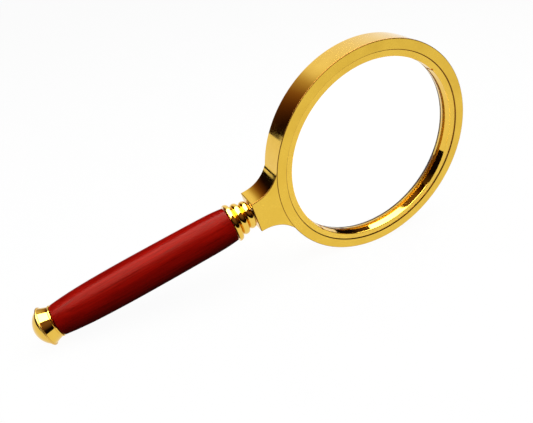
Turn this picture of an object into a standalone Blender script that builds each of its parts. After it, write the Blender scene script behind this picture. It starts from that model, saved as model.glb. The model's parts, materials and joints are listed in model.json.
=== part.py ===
"""Hand magnifier: a round lens in a gold-plated frame on a turned wooden handle.

The object is laid out on two axes that cross at the middle of the lens:
  * the lens axis, local +Z, points out of the front of the frame;
  * the handle axis, local +X, runs from the lens to the pommel.
One empty then stands the whole object on its edge, on the rim of the ring and the rim of
the pommel, with the lens axis level. World +Z is up and the floor is at Z = 0.
Lengths are in metres.
"""

import math

import bmesh
import bpy
from mathutils import Matrix

MM = 0.001
GAP = 0.3 * MM                   # clearance between neighbouring pieces

# Lens and the ring that holds it (radius, and height along the lens axis)
RING_R = 50.0 * MM               # outer radius of the frame
RING_HALF = 6.1 * MM             # half the frame's thickness
RING_EDGE = 0.35 * MM            # rounding of the frame's outer edges
OPENING_R = 42.5 * MM            # clear radius of the lip and of the retaining ring
POCKET_R = 45.4 * MM             # bore that takes the lens and the retaining ring
SEAT_Z = 1.95 * MM               # lip and retaining ring start this far from mid-plane
LIP_CHAMFER = 0.6 * MM           # at the back of the lip
LENS_R = 45.0 * MM
LENS_EDGE_HALF = 1.2 * MM        # half the lens's thickness at its edge
LENS_CURVE_R = 258.0 * MM        # radius of both faces, for a focal length near 250 mm
RETAINER_R = 45.05 * MM          # over its thread, just inside the pocket
RETAINER_FRONT_Z = 5.6 * MM      # its front sits a little below the frame's
RETAINER_EDGE = 0.4 * MM         # rounding of its inner front edge
RETAINER_LAND = 0.25 * MM        # chamfer of its outer front edge
SPANNER_SLOT = (1.2 * MM, 0.5 * MM)          # width and depth of the two tool slots
SPANNER_SLOT_ANGLES = (math.radians(35.0), math.radians(215.0))

# Yoke: the frame's own neck, flared out of the ring
YOKE_END_X = 62.5 * MM
YOKE_END_HALF_WIDTH = 7.8 * MM
YOKE_HALF = 5.8 * MM             # a little under the ring's faces
YOKE_FLARE_R = 15.0 * MM         # concave sides, tangent to the ring
YOKE_ROOT_R = 47.5 * MM          # how far the yoke's root reaches into the ring
YOKE_EDGE = 0.4 * MM
SOCKET_R = 3.3 * MM              # threaded socket for the neck stud
SOCKET_BOTTOM_X = 51.5 * MM

# Neck stud, an M6 screw that joins the handle to the yoke
STUD_R = 2.9 * MM
STUD_TIP_X = 52.5 * MM
STUD_TAIL_X = 93.0 * MM
STUD_CHAMFER = 0.6 * MM

# Ferrule: three beads, each smaller than the last towards the yoke
FERRULE_X = YOKE_END_X + GAP
FERRULE_NECK_R = 5.3 * MM
BEAD_PITCH = 3.72 * MM
BEAD_CREST_R = (6.55 * MM, 7.45 * MM, 8.75 * MM)
BEAD_HALF_WIDTH = 1.72 * MM
BEAD_HEIGHT = 1.5 * MM
BEAD_FIRST_X = FERRULE_X + 0.1 * MM + BEAD_HALF_WIDTH
SPIGOT_R = 5.5 * MM              # tenon of the ferrule inside the wood
SPIGOT_LENGTH = 6.0 * MM
CLEAR_HOLE_R = 3.25 * MM         # passes the stud

# Wooden grip: radius at stations along the handle, joined by a smooth curve
GRIP_STATIONS = (
    (73.0 * MM, 7.75 * MM), (80.0 * MM, 8.30 * MM), (92.0 * MM, 8.45 * MM),
    (108.0 * MM, 8.50 * MM), (124.0 * MM, 8.42 * MM), (138.0 * MM, 8.05 * MM),
    (147.0 * MM, 7.45 * MM), (153.1 * MM, 6.75 * MM),
)
GRIP_END_ROUND = 0.4 * MM
GRIP_SPANS = 2                   # steps between stations
INSERT_BORE_R = 5.0 * MM
INSERT_BORE_X = 95.0 * MM        # bottom of the bore at the ferrule's end
POMMEL_BORE_X = 137.5 * MM       # bottom of the bore at the pommel's end
POMMEL_COUNTERBORE_R = 5.2 * MM
POMMEL_COUNTERBORE_DEPTH = 3.1 * MM

# Threaded inserts set in the wood
INSERT_R = 4.7 * MM
INSERT_LENGTH = 13.8 * MM
POMMEL_INSERT_R = 4.2 * MM
POMMEL_INSERT_LENGTH = 12.0 * MM
INSERT_GROOVES = 2
INSERT_GROOVE_DEPTH = 0.4 * MM

# Pommel, turned in one piece with its tenon
POMMEL_X = 153.4 * MM
POMMEL_TENON_R = 4.9 * MM
POMMEL_TENON = 2.6 * MM
COLLAR_R = 7.0 * MM
COLLAR_WIDTH = 0.7 * MM
FLARE_THROAT_R = 6.75 * MM
FLARE_POWER = 1.3                # 1 is a plain cone; more is hollower
RIM_X = 158.0 * MM
RIM_R = 8.5 * MM
RIM_HALF_WIDTH = 0.45 * MM
RIM_HEIGHT = 0.5 * MM
DOME_BASE_R = 7.6 * MM
DOME_END_X = 162.8 * MM
DOME_POWER = 1.3                 # 2 is an ellipse; less is more pointed
POMMEL_SOCKET_R = 2.35 * MM
POMMEL_SOCKET_X = 158.8 * MM
POMMEL_STUD_R = 2.0 * MM
POMMEL_STUD_X = (139.5 * MM, 158.3 * MM)

RING_STEPS = 72                  # sides of the large round pieces
TURNED_STEPS = 32                # sides of the handle's pieces
SMALL_STEPS = 20                 # sides of the studs and inserts


def clear_scene():
    for obj in list(bpy.data.objects):
        bpy.data.objects.remove(obj, do_unlink=True)


def material(name, colour, metallic, roughness, transmission=0.0):
    mat = bpy.data.materials.new(name)
    mat.use_nodes = True
    mat.diffuse_color = (*colour, 1.0)
    bsdf = mat.node_tree.nodes["Principled BSDF"]
    bsdf.inputs["Base Color"].default_value = (*colour, 1.0)
    bsdf.inputs["Metallic"].default_value = metallic
    bsdf.inputs["Roughness"].default_value = roughness
    bsdf.inputs["Transmission Weight"].default_value = transmission
    return mat


def add_object(name, bm, parent, mat=None):
    """Turn a bmesh into a smooth-shaded object under parent."""
    bmesh.ops.recalc_face_normals(bm, faces=bm.faces)
    mesh = bpy.data.meshes.new(name)
    bm.to_mesh(mesh)
    bm.free()
    mesh.shade_smooth()
    mesh.set_sharp_from_angle(angle=math.radians(35.0))
    obj = bpy.data.objects.new(name, mesh)
    bpy.context.collection.objects.link(obj)
    obj.parent = parent
    if mat:
        mesh.materials.append(mat)
    return obj


def add_empty(name, parent=None):
    empty = bpy.data.objects.new(name, None)
    empty.empty_display_size = 10 * MM
    bpy.context.collection.objects.link(empty)
    empty.parent = parent
    return empty


def spin_profile(profile, steps, phase=0.0):
    """Spin a closed outline of (radius, height) points about Z.

    An outline that touches the axis at both ends is left open there, so that the spin
    closes it with a fan.
    """
    bm = bmesh.new()
    verts = [bm.verts.new((r, 0.0, z)) for r, z in profile]
    edges = [bm.edges.new(pair) for pair in zip(verts, verts[1:])]
    if profile[0][0] > 0.0 or profile[-1][0] > 0.0:
        edges.append(bm.edges.new((verts[-1], verts[0])))
    bmesh.ops.spin(bm, geom=verts + edges, cent=(0, 0, 0), axis=(0, 0, 1),
                   angle=2 * math.pi, steps=steps)
    bmesh.ops.remove_doubles(bm, verts=bm.verts, dist=0.001 * MM)
    bmesh.ops.rotate(bm, verts=bm.verts, cent=(0, 0, 0),
                     matrix=Matrix.Rotation(phase, 3, "Z"))
    return bm


def arc(centre, radii, start, end, count):
    """Points of an elliptical arc, as (radius, height) pairs; angles in degrees."""
    points = []
    for i in range(count + 1):
        a = math.radians(start + (end - start) * i / count)
        points.append((centre[0] + radii[0] * math.cos(a), centre[1] + radii[1] * math.sin(a)))
    return points


def cut(target, cutter, operation="DIFFERENCE"):
    """Keep cutter as a hidden guide, and apply it to target with an exact Boolean."""
    cutter.hide_render = True
    cutter.display_type = "WIRE"
    mod = target.modifiers.new(cutter.name, "BOOLEAN")
    mod.operation = operation
    mod.solver = "EXACT"
    mod.object = cutter


def smooth_stations(stations, spans):
    """Catmull-Rom curve through (position, radius) stations."""
    ends = [stations[0], *stations, stations[-1]]
    points = []
    for p0, p1, p2, p3 in zip(ends, ends[1:], ends[2:], ends[3:]):
        for i in range(spans):
            t = i / spans
            points.append(tuple(
                0.5 * (2 * b + (c - a) * t + (2 * a - 5 * b + 4 * c - d) * t * t
                       + (3 * b - a - 3 * c + d) * t ** 3)
                for a, b, c, d in zip(p0, p1, p2, p3)))
    return points + [stations[-1]]


def lens_height(radius):
    """Height of the lens's front face above the mid-plane at a radius."""
    rim = math.sqrt(LENS_CURVE_R ** 2 - LENS_R ** 2)
    return LENS_EDGE_HALF + math.sqrt(LENS_CURVE_R ** 2 - radius ** 2) - rim


def pommel_outline():
    """Outside of the pommel from the wood to its tip, as (radius, position) points."""
    points = [(COLLAR_R - 0.25 * MM, POMMEL_X)]
    points += arc((COLLAR_R - 0.3 * MM, POMMEL_X + COLLAR_WIDTH / 2),
                  (0.3 * MM, COLLAR_WIDTH / 2), -60, 60, 2)
    throat = (FLARE_THROAT_R, POMMEL_X + COLLAR_WIDTH + 0.1 * MM)
    rim_start = RIM_X - RIM_HALF_WIDTH
    flare_top = RIM_R - RIM_HEIGHT
    for i in range(5):
        t = i / 4
        points.append((throat[0] + (flare_top - throat[0]) * t ** FLARE_POWER,
                       throat[1] + (rim_start - throat[1]) * t))
    points += arc((RIM_R - RIM_HEIGHT, RIM_X), (RIM_HEIGHT, RIM_HALF_WIDTH), -70, 70, 4)
    dome_x = RIM_X + RIM_HALF_WIDTH + 0.15 * MM
    for i in range(9):
        t = i / 8
        radius = DOME_BASE_R * math.cos(t * math.pi / 2) if i < 8 else 0.0
        height = math.sin(t * math.pi / 2) ** (2 / DOME_POWER)
        points.append((radius, dome_x + (DOME_END_X - dome_x) * height))
    return points


def resting_pose():
    """Lean of the handle, and place of the lens's centre, when the object stands on edge.

    The handle leans until the pommel's rim reaches the floor that the ring stands on.
    The origin is under the middle of the object's length.
    """
    centre_height = RING_R * math.cos(math.pi / RING_STEPS)
    outline = pommel_outline()
    low, high = 0.0, math.radians(45.0)
    for _ in range(50):
        lean = (low + high) / 2
        reach = max(x * math.sin(lean) + r * math.cos(lean) for r, x in outline)
        if reach < centre_height:
            low = lean
        else:
            high = lean
    tail = max(x * math.cos(lean) + r * math.sin(lean) for r, x in outline)
    return lean, (tail - centre_height) / 2, centre_height


def build_frame(parent, mat, lean):
    """Ring with a lens seat at the back, joined to the yoke, and bored for the stud."""
    profile = [
        (POCKET_R, RING_HALF),
        *arc((RING_R - RING_EDGE, RING_HALF - RING_EDGE), (RING_EDGE, RING_EDGE), 90, 0, 4),
        *arc((RING_R - RING_EDGE, RING_EDGE - RING_HALF), (RING_EDGE, RING_EDGE), 0, -90, 4),
        (OPENING_R + LIP_CHAMFER, -RING_HALF),
        (OPENING_R, LIP_CHAMFER - RING_HALF),
        (OPENING_R, -SEAT_Z),
        (POCKET_R, -SEAT_Z),
    ]
    # one flat of the ring faces the floor: straight down is at 90 degrees less the lean
    step = 2 * math.pi / RING_STEPS
    phase = (math.pi / 2 - lean) % step + step / 2
    frame = add_object("lens_frame", spin_profile(profile, RING_STEPS, phase), parent, mat)

    # plan of the yoke: tangent to the ring's rim, concave, then parallel at its end
    flare_y = YOKE_END_HALF_WIDTH + YOKE_FLARE_R
    flare_x = math.sqrt((RING_R + YOKE_FLARE_R) ** 2 - flare_y ** 2)
    tangent = math.atan2(flare_y, flare_x)
    side = arc((0.0, 0.0), (YOKE_ROOT_R, YOKE_ROOT_R), 0, math.degrees(tangent), 3)
    side += [(flare_x + dx, flare_y + dy) for dx, dy in
             arc((0.0, 0.0), (YOKE_FLARE_R, YOKE_FLARE_R),
                 180 + math.degrees(tangent), 270, 12)]
    side.append((YOKE_END_X, YOKE_END_HALF_WIDTH))
    outline = side + [(x, -y) for x, y in reversed(side[1:])]
    bm = bmesh.new()
    face = bm.faces.new([bm.verts.new((x, y, -YOKE_HALF)) for x, y in outline])
    top = bmesh.ops.extrude_face_region(bm, geom=[face])["geom"]
    bmesh.ops.translate(bm, vec=(0, 0, 2 * YOKE_HALF),
                        verts=[v for v in top if isinstance(v, bmesh.types.BMVert)])
    bmesh.ops.recalc_face_normals(bm, faces=bm.faces)
    rims = [e for e in bm.edges if abs(e.verts[0].co.z - e.verts[1].co.z) < 0.01 * MM]
    bmesh.ops.bevel(bm, geom=rims, offset=YOKE_EDGE, offset_type="OFFSET", segments=1,
                    profile=0.5, affect="EDGES")
    yoke = add_object("yoke_plate", bm, parent)

    depth = YOKE_END_X + 2 * MM - SOCKET_BOTTOM_X
    bm = bmesh.new()
    bmesh.ops.create_cone(bm, cap_ends=True, segments=SMALL_STEPS, radius1=SOCKET_R,
                          radius2=SOCKET_R, depth=depth)
    socket = add_object("stud_socket", bm, parent)
    socket.rotation_euler = (0, math.pi / 2, 0)
    socket.location = (SOCKET_BOTTOM_X + depth / 2, 0, 0)

    cut(frame, yoke, "UNION")
    cut(frame, socket)
    return frame


def build_lens(parent, mat):
    rings = 4
    front = [(LENS_R * i / rings, lens_height(LENS_R * i / rings)) for i in range(rings + 1)]
    back = [(r, -z) for r, z in reversed(front)]
    return add_object("lens_glass", spin_profile(front + back, RING_STEPS), parent, mat)


def build_retaining_ring(parent, mat):
    profile = [
        (OPENING_R, SEAT_Z),
        *arc((OPENING_R + RETAINER_EDGE, RETAINER_FRONT_Z - RETAINER_EDGE),
             (RETAINER_EDGE, RETAINER_EDGE), 180, 90, 3),
        (RETAINER_R - RETAINER_LAND, RETAINER_FRONT_Z),
        (RETAINER_R, RETAINER_FRONT_Z - RETAINER_LAND),
        (RETAINER_R, SEAT_Z + RETAINER_LAND),
        (RETAINER_R - RETAINER_LAND, SEAT_Z),
    ]
    ring = add_object("retaining_ring", spin_profile(profile, RING_STEPS), parent, mat)
    width, depth = SPANNER_SLOT
    length = 4 * depth
    for number, angle in enumerate(SPANNER_SLOT_ANGLES, 1):
        bm = bmesh.new()
        bmesh.ops.create_cube(bm, size=1.0)
        bmesh.ops.scale(bm, vec=(length, width, 4 * RING_HALF), verts=bm.verts)
        slot = add_object("spanner_slot_%d" % number, bm, parent)
        radius = OPENING_R + depth - length / 2
        slot.location = (radius * math.cos(angle), radius * math.sin(angle), 0)
        slot.rotation_euler = (0, 0, angle)
        cut(ring, slot)
    return ring


def build_ferrule(parent, mat):
    wood_x = GRIP_STATIONS[0][0]
    outer = [(FERRULE_NECK_R, FERRULE_X)]
    for number, crest in enumerate(BEAD_CREST_R):
        centre_x = BEAD_FIRST_X + number * BEAD_PITCH
        outer += arc((crest - BEAD_HEIGHT, centre_x), (BEAD_HEIGHT, BEAD_HALF_WIDTH), -75, 75, 5)
    shoulder_x = wood_x - GAP
    outer[-1] = (outer[-1][0], min(outer[-1][1], shoulder_x - 0.05 * MM))
    outer += [
        (BEAD_CREST_R[-1] - 1.3 * MM, shoulder_x),
        (SPIGOT_R, shoulder_x),
        (SPIGOT_R, shoulder_x + SPIGOT_LENGTH - 0.4 * MM),
        (SPIGOT_R - 0.4 * MM, shoulder_x + SPIGOT_LENGTH),
        (CLEAR_HOLE_R, shoulder_x + SPIGOT_LENGTH),
        (CLEAR_HOLE_R, FERRULE_X),
    ]
    return add_object("ferrule", spin_profile(outer, TURNED_STEPS), parent, mat)


def build_grip(parent, mat):
    """Turned outside, closed by a stepped bore at each end."""
    curve = [(r, x) for x, r in smooth_stations(GRIP_STATIONS, GRIP_SPANS)]
    (top_r, top_x), (tail_r, tail_x) = curve[0], curve[-1]
    spigot_bore_x = top_x - GAP + SPIGOT_LENGTH + GAP
    counterbore_x = tail_x - POMMEL_COUNTERBORE_DEPTH
    profile = [
        (0.0, INSERT_BORE_X),
        (INSERT_BORE_R, INSERT_BORE_X),
        (INSERT_BORE_R, spigot_bore_x),
        (SPIGOT_R + GAP + 0.05 * MM, spigot_bore_x),
        (SPIGOT_R + GAP + 0.05 * MM, top_x),
        (top_r - GRIP_END_ROUND, top_x),
        (top_r, top_x + GRIP_END_ROUND),
        *curve[1:-1],
        (tail_r + 0.05 * MM, tail_x - GRIP_END_ROUND),
        (tail_r - GRIP_END_ROUND, tail_x),
        (POMMEL_COUNTERBORE_R, tail_x),
        (POMMEL_COUNTERBORE_R, counterbore_x),
        (POMMEL_INSERT_R + GAP, counterbore_x),
        (POMMEL_INSERT_R + GAP, POMMEL_BORE_X),
        (0.0, POMMEL_BORE_X),
    ]
    return add_object("handle_grip", spin_profile(profile, TURNED_STEPS), parent, mat)


def build_insert(name, start_x, length, outer_r, bore_r, parent, mat):
    """Threaded bush with round grooves that key it into the wood."""
    outer = [(outer_r - 0.4 * MM, start_x), (outer_r, start_x + 0.4 * MM)]
    pitch = length / (INSERT_GROOVES + 1)
    for number in range(1, INSERT_GROOVES + 1):
        x = start_x + number * pitch
        for dx, depth in ((-0.8, 0.0), (-0.4, 1.0), (0.4, 1.0), (0.8, 0.0)):
            outer.append((outer_r - depth * INSERT_GROOVE_DEPTH, x + dx * MM))
    end_x = start_x + length
    outer += [(outer_r, end_x - 0.4 * MM), (outer_r - 0.4 * MM, end_x),
              (bore_r, end_x), (bore_r, start_x)]
    return add_object(name, spin_profile(outer, SMALL_STEPS), parent, mat)


def build_stud(name, start_x, end_x, radius, parent, mat):
    profile = [
        (0.0, start_x), (radius - STUD_CHAMFER, start_x), (radius, start_x + STUD_CHAMFER),
        (radius, end_x - STUD_CHAMFER), (radius - STUD_CHAMFER, end_x), (0.0, end_x),
    ]
    return add_object(name, spin_profile(profile, SMALL_STEPS), parent, mat)


def build_pommel(parent, mat):
    tenon_x = POMMEL_X - POMMEL_TENON
    profile = [
        (0.0, POMMEL_SOCKET_X),
        (POMMEL_SOCKET_R, POMMEL_SOCKET_X),
        (POMMEL_SOCKET_R, tenon_x),
        (POMMEL_TENON_R - 0.3 * MM, tenon_x),
        (POMMEL_TENON_R, tenon_x + 0.3 * MM),
        (POMMEL_TENON_R, POMMEL_X),
        *pommel_outline(),
    ]
    return add_object("pommel", spin_profile(profile, TURNED_STEPS), parent, mat)


def main():
    clear_scene()
    gold_satin = material("gold_satin", (0.80, 0.56, 0.15), 1.0, 0.30)
    gold_ring = material("gold_retaining_ring", (0.84, 0.60, 0.18), 1.0, 0.26)
    gold_ferrule = material("gold_ferrule", (0.86, 0.62, 0.20), 1.0, 0.10)
    gold_pommel = material("gold_pommel", (0.86, 0.62, 0.20), 1.0, 0.09)
    glass = material("optical_glass", (0.97, 0.99, 0.98), 0.0, 0.02, transmission=1.0)
    wood = material("red_stained_wood", (0.33, 0.022, 0.012), 0.0, 0.38)
    stud_steel = material("stud_steel", (0.55, 0.54, 0.52), 1.0, 0.35)
    pommel_steel = material("pommel_stud_steel", (0.55, 0.54, 0.52), 1.0, 0.35)
    insert_brass = material("insert_brass", (0.72, 0.54, 0.25), 1.0, 0.40)
    pommel_brass = material("pommel_insert_brass", (0.72, 0.54, 0.25), 1.0, 0.40)

    lean, centre_x, centre_z = resting_pose()
    # stands the object on edge: its lens axis turns level, to face -Y
    stand = add_empty("stand")
    stand.location = (centre_x, 0, centre_z)
    stand.rotation_mode = "ZYX"
    stand.rotation_euler = (math.pi / 2, 0, math.pi + lean)
    # the retaining ring turns on the lens axis, and the lens moves along it
    lens_axis = add_empty("lens_axis", stand)
    # the handle turns on local +X; its pieces are turned about their own +Z
    handle_axis = add_empty("handle_axis", stand)
    handle_axis.rotation_euler = (0, math.pi / 2, 0)

    build_frame(stand, gold_satin, lean)
    build_lens(lens_axis, glass)
    build_retaining_ring(lens_axis, gold_ring)
    build_ferrule(handle_axis, gold_ferrule)
    build_stud("neck_stud", STUD_TIP_X, STUD_TAIL_X, STUD_R, handle_axis, stud_steel)
    build_grip(handle_axis, wood)
    build_insert("handle_insert", INSERT_BORE_X - GAP - INSERT_LENGTH, INSERT_LENGTH,
                 INSERT_R, CLEAR_HOLE_R, handle_axis, insert_brass)
    build_insert("pommel_insert", POMMEL_BORE_X + GAP, POMMEL_INSERT_LENGTH,
                 POMMEL_INSERT_R, POMMEL_SOCKET_R, handle_axis, pommel_brass)
    build_stud("pommel_stud", *POMMEL_STUD_X, POMMEL_STUD_R, handle_axis, pommel_steel)
    build_pommel(handle_axis, gold_pommel)


main()
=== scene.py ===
"""Fine meshes, materials and studio for the hand magnifier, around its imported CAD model.

Round pieces are made about their own Z axis and then stood in the object's frame: the lens
axis points out of the front, and the handle axis runs from the lens to the pommel.
Lengths are in metres.
"""

import json
import math

import bmesh
import bpy
from mathutils import Matrix, Vector


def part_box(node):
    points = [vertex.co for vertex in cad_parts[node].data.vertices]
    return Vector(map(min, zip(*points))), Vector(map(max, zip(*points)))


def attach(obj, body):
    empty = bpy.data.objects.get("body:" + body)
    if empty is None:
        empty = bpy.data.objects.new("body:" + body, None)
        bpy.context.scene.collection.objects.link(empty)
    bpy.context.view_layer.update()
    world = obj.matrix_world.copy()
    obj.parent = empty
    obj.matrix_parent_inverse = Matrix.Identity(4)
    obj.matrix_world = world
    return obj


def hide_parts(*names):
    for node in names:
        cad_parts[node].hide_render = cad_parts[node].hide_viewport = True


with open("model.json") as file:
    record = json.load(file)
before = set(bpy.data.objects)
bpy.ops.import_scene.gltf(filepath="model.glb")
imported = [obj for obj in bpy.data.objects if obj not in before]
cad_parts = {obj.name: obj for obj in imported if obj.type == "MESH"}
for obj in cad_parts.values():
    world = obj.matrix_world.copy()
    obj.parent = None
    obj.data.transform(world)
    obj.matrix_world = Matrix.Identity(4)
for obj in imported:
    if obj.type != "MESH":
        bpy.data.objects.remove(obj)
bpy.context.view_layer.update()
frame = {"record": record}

MM = 0.001
TAU = 2 * math.pi

# ---------------------------------------------------------------- camera and studio
CAMERA_PLACE = (-0.07781, -0.17816, 0.15367)
CAMERA_TURN = (57.884, 2.684, -25.477)       # degrees about X, Y and Z
CAMERA_LENS = 34.94                          # mm
SENSOR_WIDTH = 36.0                          # mm
CLIP_START = 0.005
WHITE = (1.0, 1.0, 1.0)

FLOOR_HALF = 2.5
FLOOR_CELLS = 12
FLOOR_GLOW = 0.955
FLOOR_MATT_SHARE = -0.87                 # share added to the glow where it lights matt surfaces
FLOOR_GLASS_SHARE = 0.1                  # and where it is seen through the lens
FLOOR_TONES = (0.055,) * 3, (0.060,) * 3

WORLD_FILL = 0.10
ROOM_TONES = (                           # dark low down, warm overhead
    (0.32, (0.006, 0.003, 0.002)), (0.75, (0.22, 0.11, 0.07)),
)

SOFTBOX_HEIGHT = 0.5
SOFTBOX_Y = -0.05
SOFTBOX_SIZE = (1.1, 0.53)
SOFTBOX_TURN = math.radians(17.0)
SOFTBOX_WATTS = 3.3
SOFTBOX_SHINE = 9.0
SOFTBOX_PANEL = ((-0.5, -0.128), (0.6, -0.128), (0.6, 0.40), (-0.5, 0.40))    # X, Y before its turn

BACKDROP_Y = 0.35
BACKDROP_PANEL = (                       # X, Z
    (-0.24, 0.03), (0.375, 0.03), (0.375, 0.19), (0.25, 0.345), (0.19, 0.372), (-0.24, 0.372),
)
BACKDROP_TONES = (                       # dark at its left edge, white from 0.39 of the way across
    (0.016, (0.008, 0.002, 0.001)), (0.092, (0.107, 0.035, 0.012)),
    (0.158, (0.24, 0.11, 0.045)), (0.240, (0.52, 0.38, 0.22)),
    (0.325, (0.92, 0.86, 0.78)), (0.390, (1.05, 1.03, 1.0)),
)

FLAG_X = -0.3
FLAG_PANEL = ((0.28, 0.002), (0.40, 0.002), (0.40, 0.05), (0.28, 0.05))       # Y, Z
FLAG_COLOUR = (0.004, 0.002, 0.001)

# ---------------------------------------------------------------- colours: the main one, then the darker
GOLD = (0.83, 0.53, 0.075), (0.79, 0.49, 0.06)
FACE_GOLD = (0.80, 0.52, 0.065), (0.76, 0.48, 0.055)
LAND_GOLD = (0.83, 0.54, 0.075), (0.79, 0.50, 0.065)
# painted shade: a dark gold for the front edge roundings and creases
EDGE_SHADE_GOLD = (0.30, 0.135, 0.02), (0.23, 0.10, 0.018)
# painted shade: near-black gold for the back of the bore's lip
LIP_SHADE_GOLD = (0.05, 0.02, 0.008), (0.03, 0.012, 0.005)
FERRULE_GOLD = (0.84, 0.55, 0.10), (0.80, 0.51, 0.08)
POMMEL_GOLD = (0.81, 0.53, 0.085), (0.76, 0.48, 0.07)
RIM_GOLD = (0.80, 0.50, 0.10), (0.74, 0.45, 0.08)
STEEL = (0.56, 0.55, 0.53), (0.42, 0.40, 0.37)
BRASS = (0.72, 0.54, 0.25), (0.55, 0.38, 0.16)
WOOD, WOOD_DARK = (0.47, 0.005, 0.002), (0.27, 0.003, 0.001)
WOOD_BRIGHT = (0.60, 0.009, 0.003)
WOOD_PORE = (0.07, 0.004, 0.003)
LACQUER_IOR = 1.18
LACQUER_TINT = (1.0, 0.45, 0.33, 1.0)
GLASS_IOR = 1.52

# ---------------------------------------------------------------- fineness of the meshes
SHARP_ANGLE = 32.0                       # degrees; a steeper edge is shaded sharp
LENS_SHARP_ANGLE = 20.0
WELD = 1e-8
RING_STEPS = 324
FLARE_STEPS = 44
RETAINER_STEPS = 360
LENS_STEPS = 288
TURNED_STEPS = 144
INSERT_STEPS = 112
ROD_STEPS = 48
ROWS_PER_PITCH = 8
POCKET_ROWS = 50
GRIP_SPANS = 14                          # between neighbouring stations
INSERT_ROWS = 60
SOCKET_ROWS = 96
FLAT_FACING = 0.97                       # a face is flat where its normal's Z is past this
WALL_FACING = 0.03                       # and on a wall where it is under this

# ---------------------------------------------------------------- sizes, following the CAD model
FINE_EDGE = 0.1 * MM
THREAD_FLAT = 0.14                       # share of a half pitch flat at the crest, and at the root
THREAD_FLANK = 0.72                      # the share between them, which slopes
RING_HALF = 6.1 * MM
RING_EDGE = 0.35 * MM
OPENING_R = 42.5 * MM
FACE_ROWS_R = (46.6 * MM, 47.8 * MM, 49.0 * MM)
POCKET_R = 45.4 * MM
POCKET_EDGE = 0.16 * MM
POCKET_THREAD_Z = 1.4 * MM               # its thread starts just in front of the lens's edge
POCKET_RUNOUT = 0.5 * MM
POCKET_FRONT_RUNOUT = 0.3 * MM
SEAT_Z = 1.95 * MM
LIP_CHAMFER = 0.6 * MM
LIP_SHADE_Z = 3.8 * MM                 # behind this the lip is painted near-black, as shade
LENS_R = 45.0 * MM
LENS_EDGE_HALF = 1.2 * MM
LENS_CURVE_R = 258.0 * MM
LENS_CHAMFER = 0.25 * MM
RETAINER_R = 45.05 * MM
RETAINER_FRONT_Z = 5.6 * MM
RETAINER_EDGE = 0.4 * MM
RETAINER_LAND = 0.12 * MM
RETAINER_THREAD = 0.25 * MM
RETAINER_PITCH = 0.75 * MM
RETAINER_RUNOUT = 0.6 * MM
RETAINER_LIP = 0.5 * MM                  # plain part in front of the thread
RETAINER_ROWS = 40
RETAINER_BACK_EDGE = 0.25 * MM
RETAINER_BORE_ROW_Z = 3.9 * MM
RETAINER_FACE_ROW_R = 43.6 * MM
SPANNER_SLOT = (1.2 * MM, 0.5 * MM)
SPANNER_SLOT_ANGLES = (math.radians(35.0), math.radians(215.0))

YOKE_END_X = 62.5 * MM
YOKE_END_HALF_WIDTH = 7.8 * MM
YOKE_HALF = 5.8 * MM
YOKE_FLARE_R = 15.0 * MM
YOKE_EDGE = 0.4 * MM
YOKE_BLEND = 0.7 * MM                    # the ring's edge turns into the yoke's over this width
SOCKET_R = 3.3 * MM
SOCKET_THREAD = 0.3 * MM
SOCKET_BOTTOM_X = 51.5 * MM
SOCKET_RUNOUT = 0.5 * MM
SOCKET_OVERCUT = 1.0 * MM

STUD_R = 2.9 * MM
STUD_SPAN = (52.5 * MM, 93.0 * MM)
STUD_THREAD = 0.45 * MM
STUD_PITCH = 1.0 * MM
POMMEL_STUD_R = 2.0 * MM
POMMEL_STUD_SPAN = (139.5 * MM, 158.3 * MM)
POMMEL_STUD_THREAD = 0.35 * MM
POMMEL_STUD_PITCH = 0.7 * MM
ROD_CHAMFER = 0.6 * MM

FERRULE_X = 62.8 * MM
FERRULE_END_X = 72.7 * MM
BEAD_PITCH = 3.72 * MM
BEAD_CREST_R = (6.50 * MM, 7.40 * MM, 8.69 * MM)
BEAD_HALF_WIDTH = 1.72 * MM
BEAD_HEIGHT = 1.45 * MM
BEAD_ARC = 80                            # degrees each side of the crest
BEAD_STEPS = 20
LAST_BEAD_DEPTH = 1.35 * MM              # from the last crest down to its flat end
LAST_BEAD_TRIM = 0.03 * MM               # its arc stops this short of the flat end
FERRULE_NECK_R = 5.3 * MM
SPIGOT_R = 5.5 * MM
SPIGOT_LENGTH = 6.0 * MM
SPIGOT_CHAMFER = 0.4 * MM
SPIGOT_FILLET = 0.15 * MM
CLEAR_HOLE_R = 3.25 * MM
FRONT_CHAMFER = 0.3 * MM

NECK_INSERT = (80.9 * MM, 13.8 * MM, 4.7 * MM, CLEAR_HOLE_R)   # start, length, outside, hole
POMMEL_INSERT = (137.8 * MM, 12.0 * MM, 4.2 * MM, 2.35 * MM)
INSERT_GROOVE = 0.4 * MM                 # depth, half the floor's width, and each slope's width
INSERT_KNURL = 0.12 * MM
INSERT_FLUTES = 28
INSERT_CHAMFER = 0.5 * MM                # across, over a length of INSERT_EDGE
INSERT_EDGE = 0.3 * MM
HOLE_CHAMFER = 0.2 * MM

GRIP_STATIONS = (
    (73.0 * MM, 7.75 * MM), (80.0 * MM, 8.30 * MM), (92.0 * MM, 8.45 * MM),
    (108.0 * MM, 8.50 * MM), (124.0 * MM, 8.42 * MM), (138.0 * MM, 8.05 * MM),
    (147.0 * MM, 7.45 * MM), (153.1 * MM, 6.75 * MM),
)
GRIP_END_ROUND = 0.4 * MM
GRIP_TAIL_GAIN = 0.03 * MM               # the tail's rounding stands this far out
SPIGOT_BORE = (5.85 * MM, 79.0 * MM)         # radius, and where it ends
INSERT_BORE = (5.0 * MM, 95.0 * MM)
POMMEL_BORE = (4.5 * MM, 137.5 * MM)
COUNTERBORE = (5.2 * MM, 150.0 * MM)

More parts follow.
